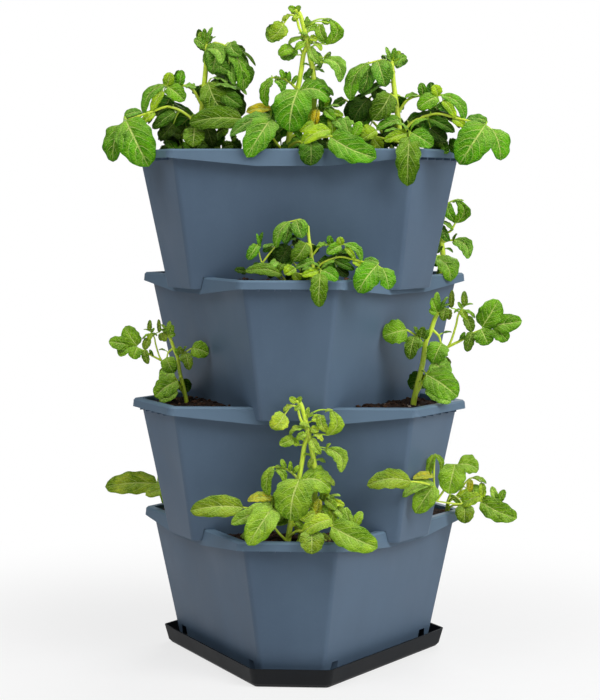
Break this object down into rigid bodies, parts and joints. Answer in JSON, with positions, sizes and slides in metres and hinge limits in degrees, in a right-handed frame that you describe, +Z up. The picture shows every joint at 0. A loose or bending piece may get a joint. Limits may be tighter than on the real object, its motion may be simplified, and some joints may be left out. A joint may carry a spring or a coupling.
{
  "type": "vertical planter tower",
  "caption": "Stacked planter tower of tapered triangular pots with cut-off corners, each turned against the next to leave corner pockets, on a drip tray, planted.",
  "frame": {"origin": "middle of the tray's underside, on the tower's axis", "axes": "+Z up the tower; the tray and the pots of odd levels have a corner towards -Y, the viewer's side"},
  "size_m": [0.5255, 0.4317, 0.7903],
  "materials": {
    "pot_plastic": "fine satin",
    "tray_plastic": "satin",
    "soil": "crumbly",
    "foliage": "soft leaf sheen"
  },
  "bodies": {
    "drip_tray": {"drip_tray": "tray_plastic"},
    "level_1": {"pot_1": "pot_plastic", "soil_1": "soil", "plant_1_front": "foliage", "plant_1_right": "foliage", "plant_1_left": "foliage"},
    "level_2": {"pot_2": "pot_plastic", "soil_2": "soil", "plant_2_right": "foliage", "plant_2_left": "foliage"},
    "level_3": {"pot_3": "pot_plastic", "soil_3": "soil", "plant_3_front": "foliage", "plant_3_right": "foliage"},
    "level_4": {"pot_4": "pot_plastic", "soil_4": "soil", "plant_4_middle": "foliage", "plant_4_right": "foliage", "plant_4_left": "foliage"}
  },
  "joints": [
    {"name": "lift_pot_1", "type": "slide", "parent": "drip_tray", "child": "level_1", "axis": [0, 0, 1], "range_m": [0, 0.25]},
    {"name": "lift_pot_2", "type": "slide", "parent": "level_1", "child": "level_2", "axis": [0, 0, 1], "range_m": [0, 0.25]},
    {"name": "lift_pot_3", "type": "slide", "parent": "level_2", "child": "level_3", "axis": [0, 0, 1], "range_m": [0, 0.25]},
    {"name": "lift_pot_4", "type": "slide", "parent": "level_3", "child": "level_4", "axis": [0, 0, 1], "range_m": [0, 0.25]}
  ]
}
